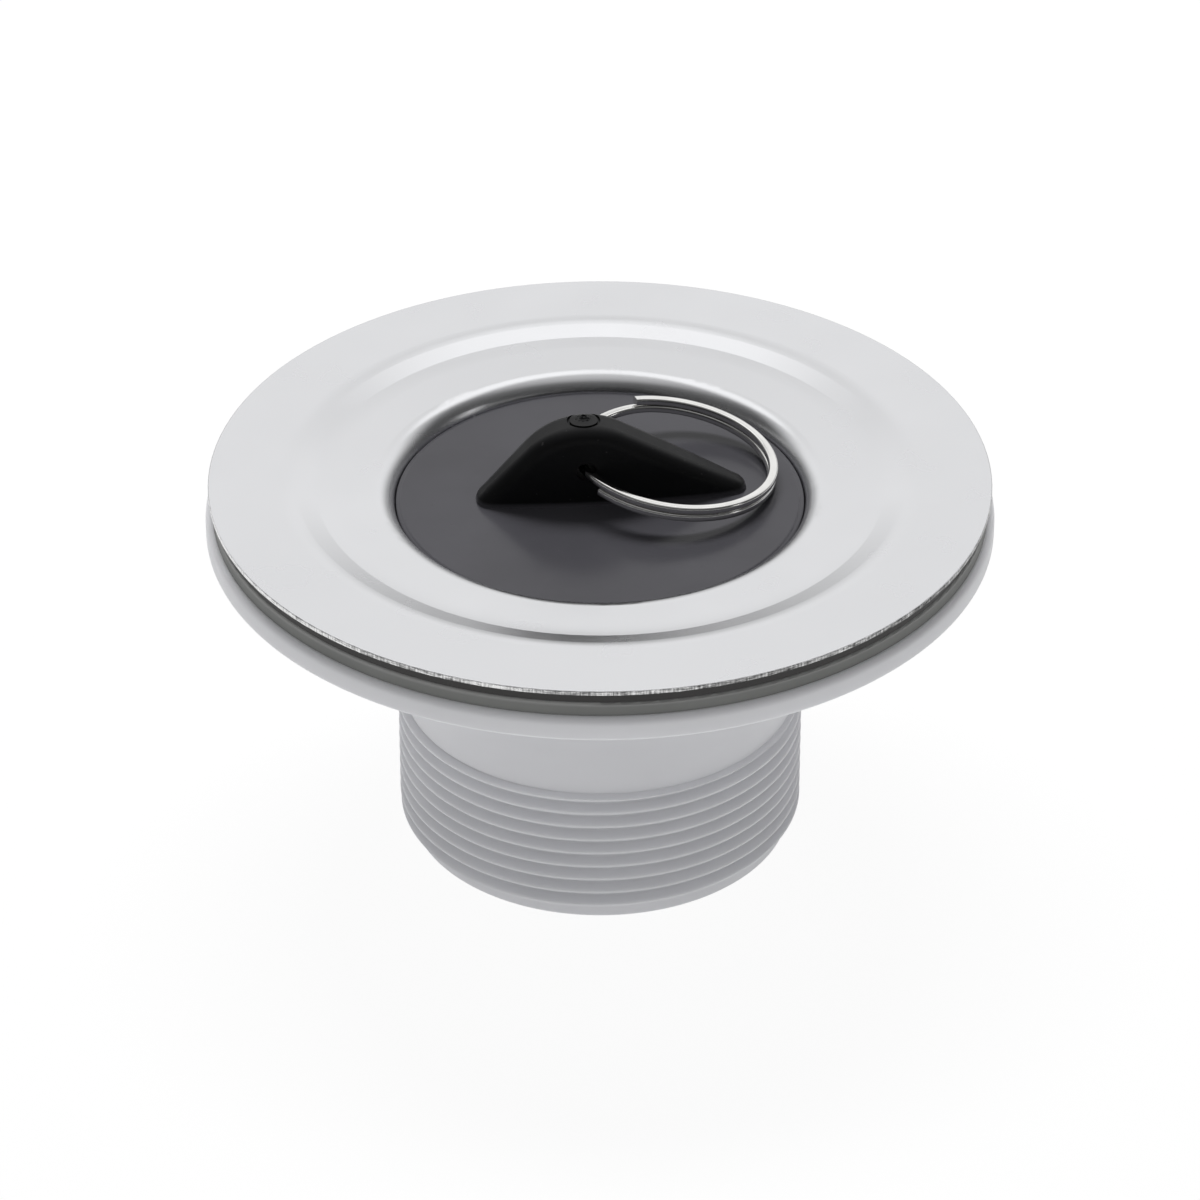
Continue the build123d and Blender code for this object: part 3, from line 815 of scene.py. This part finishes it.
def make_world():
    """Soft light all round. Gloss shows a bright backdrop behind the valve, in a dim room.

    The backdrop stands where the photograph's view mirrors it, so the steel is dark from behind.
    """
    world = bpy.data.worlds.new("studio")
    world.use_nodes = True
    bpy.context.scene.world = world
    tree = NodeTree(world.node_tree)
    x, y, z = tree.split(tree.add("ShaderNodeTexCoord").outputs["Generated"])
    lean = tree.math("ADD", tree.math("MULTIPLY", x, FILL_LEAN.x), tree.math("MULTIPLY", y, FILL_LEAN.y))
    fill = tree.add("ShaderNodeBackground", {"Color": tree.math("ADD", lean, FILL_LEVEL)}).outputs[0]
    sine = tree.math("DIVIDE", y, tree.flat_length(x, y))
    behind = tree.between(sine, BACKDROP_FROM, BACKDROP_FULL, 0.0, 1.0)
    backdrop = world_levels(tree, z, BACKDROP_LEVELS)
    room = world_levels(tree, z, ROOM_LEVELS)
    seen = tree.add("ShaderNodeMix", {0: behind, 2: room, 3: backdrop}, data_type="FLOAT").outputs[0]
    mirrored = tree.add("ShaderNodeBackground", {"Color": seen}).outputs[0]
    white = tree.add("ShaderNodeBackground", {"Color": grey(1.0)}).outputs[0]
    path = tree.add("ShaderNodeLightPath").outputs
    clear = tree.math("MAXIMUM", path["Is Camera Ray"], path["Is Transmission Ray"])
    lit = tree.choose(path["Is Glossy Ray"], fill, mirrored)
    tree.feed(tree.nodes["World Output"].inputs["Surface"], tree.choose(clear, lit, white))


def make_softbox(name, azimuth, elevation, distance, width, height, power, mirrored=True):
    """A rectangular lamp that faces the dish: degrees, metres, and watts for each square metre.

    One that isn't mirrored lights matt surfaces and stays out of the gloss.
    """
    light = bpy.data.lights.new(name, "AREA")
    light.shape = "RECTANGLE"
    light.size = width
    light.size_y = height
    light.energy = power * width * height
    aim = Vector((0, 0, RIM_TOP))
    turn, rise = math.radians(azimuth), math.radians(elevation)
    away = Vector((math.cos(turn) * math.cos(rise), math.sin(turn) * math.cos(rise), math.sin(rise)))
    lamp = bpy.data.objects.new(name, light)
    lamp.location = aim + away * distance
    lamp.rotation_euler = (-away).to_track_quat("-Z", "Y").to_euler()
    lamp.visible_glossy = mirrored
    bpy.context.scene.collection.objects.link(lamp)


def make_camera():
    """The photograph's view: the rim's centre falls on its pixel, at the photograph's scale."""
    drop_px = IMAGE_PX / 2 - RIM_CENTRE_PX
    focal_px = PX_PER_MM * CAMERA_DISTANCE / MM
    dip = math.atan(drop_px / focal_px)
    data = bpy.data.cameras.new("camera")
    data.sensor_width = SENSOR_WIDTH_MM
    data.lens = focal_px * math.cos(dip) / IMAGE_PX * SENSOR_WIDTH_MM
    data.clip_start = CLIP_START
    camera = bpy.data.objects.new("camera", data)
    back = CAMERA_DISTANCE * math.cos(CAMERA_ELEVATION)
    camera.location = (0, -back, RIM_TOP + CAMERA_DISTANCE * math.sin(CAMERA_ELEVATION))
    camera.rotation_euler = (math.radians(90) - CAMERA_ELEVATION - dip, 0, 0)
    bpy.context.scene.collection.objects.link(camera)
    bpy.context.scene.camera = camera


make_floor()
make_world()
make_softbox("rear_top", azimuth=90, elevation=62, distance=1.0, width=1.1, height=0.52, power=1.95)
make_softbox("right_strip", azimuth=-16, elevation=12, distance=0.9, width=0.12, height=0.25, power=4.7)
make_softbox(
    "rear_key", azimuth=95, elevation=62, distance=1.2, width=0.8, height=0.32, power=56.0, mirrored=False
)
make_camera()
bpy.context.scene.view_settings.view_transform = "Standard"
